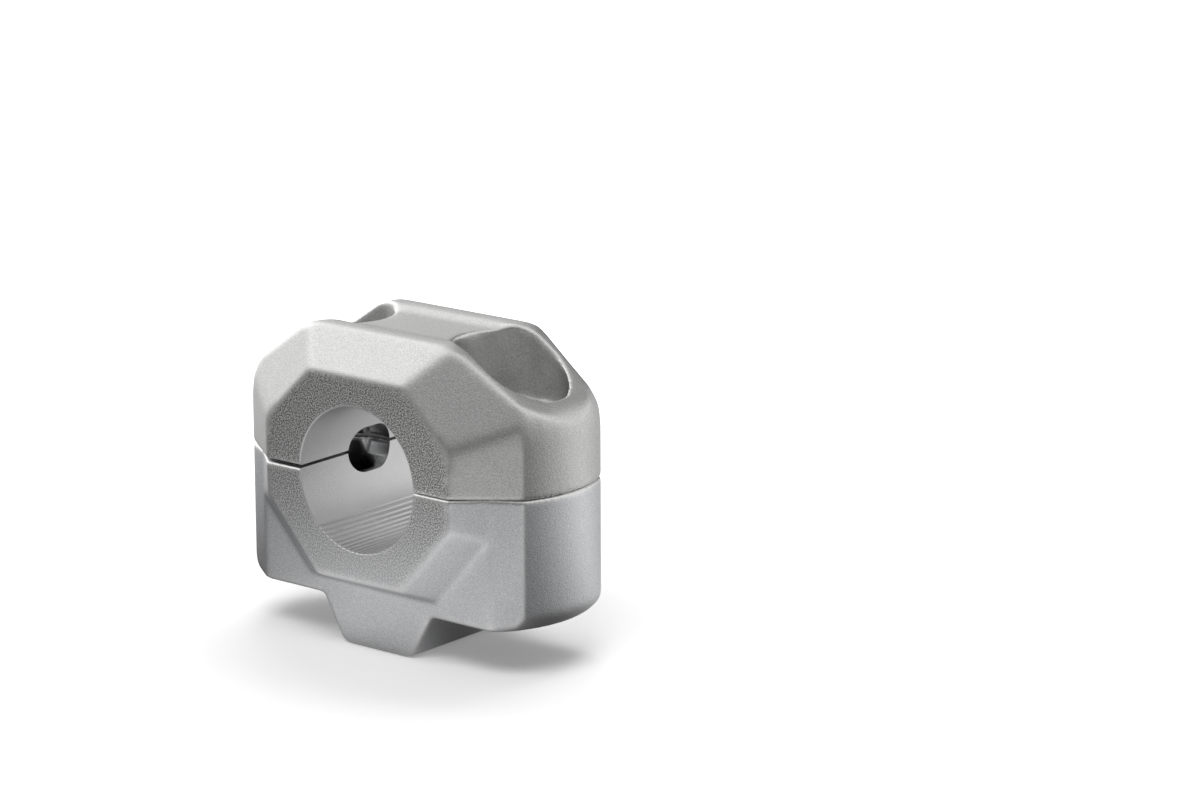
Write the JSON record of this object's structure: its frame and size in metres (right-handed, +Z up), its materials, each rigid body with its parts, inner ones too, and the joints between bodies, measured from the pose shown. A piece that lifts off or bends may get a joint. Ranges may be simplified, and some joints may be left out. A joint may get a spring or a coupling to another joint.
{
  "type": "motorcycle bar riser",
  "caption": "Milled aluminium handlebar riser for a motorcycle: a faceted clamp cap with open bolt wells on a base with a keel below, split at the middle of the bar bore.",
  "frame": {"origin": "middle of the keel's underside, below the bar's axis", "axes": "+X towards the end with the closed split, +Y along the bar, +Z up from the keel to the cap"},
  "size_m": [0.0746, 0.04, 0.0623],
  "materials": {
    "base_metal": "satin, bead blasted and clear anodised",
    "cap_metal": "satin, bead blasted and clear anodised"
  },
  "bodies": {
    "root": {"riser_base": "base_metal", "clamp_cap": "cap_metal"}
  },
  "joints": []
}
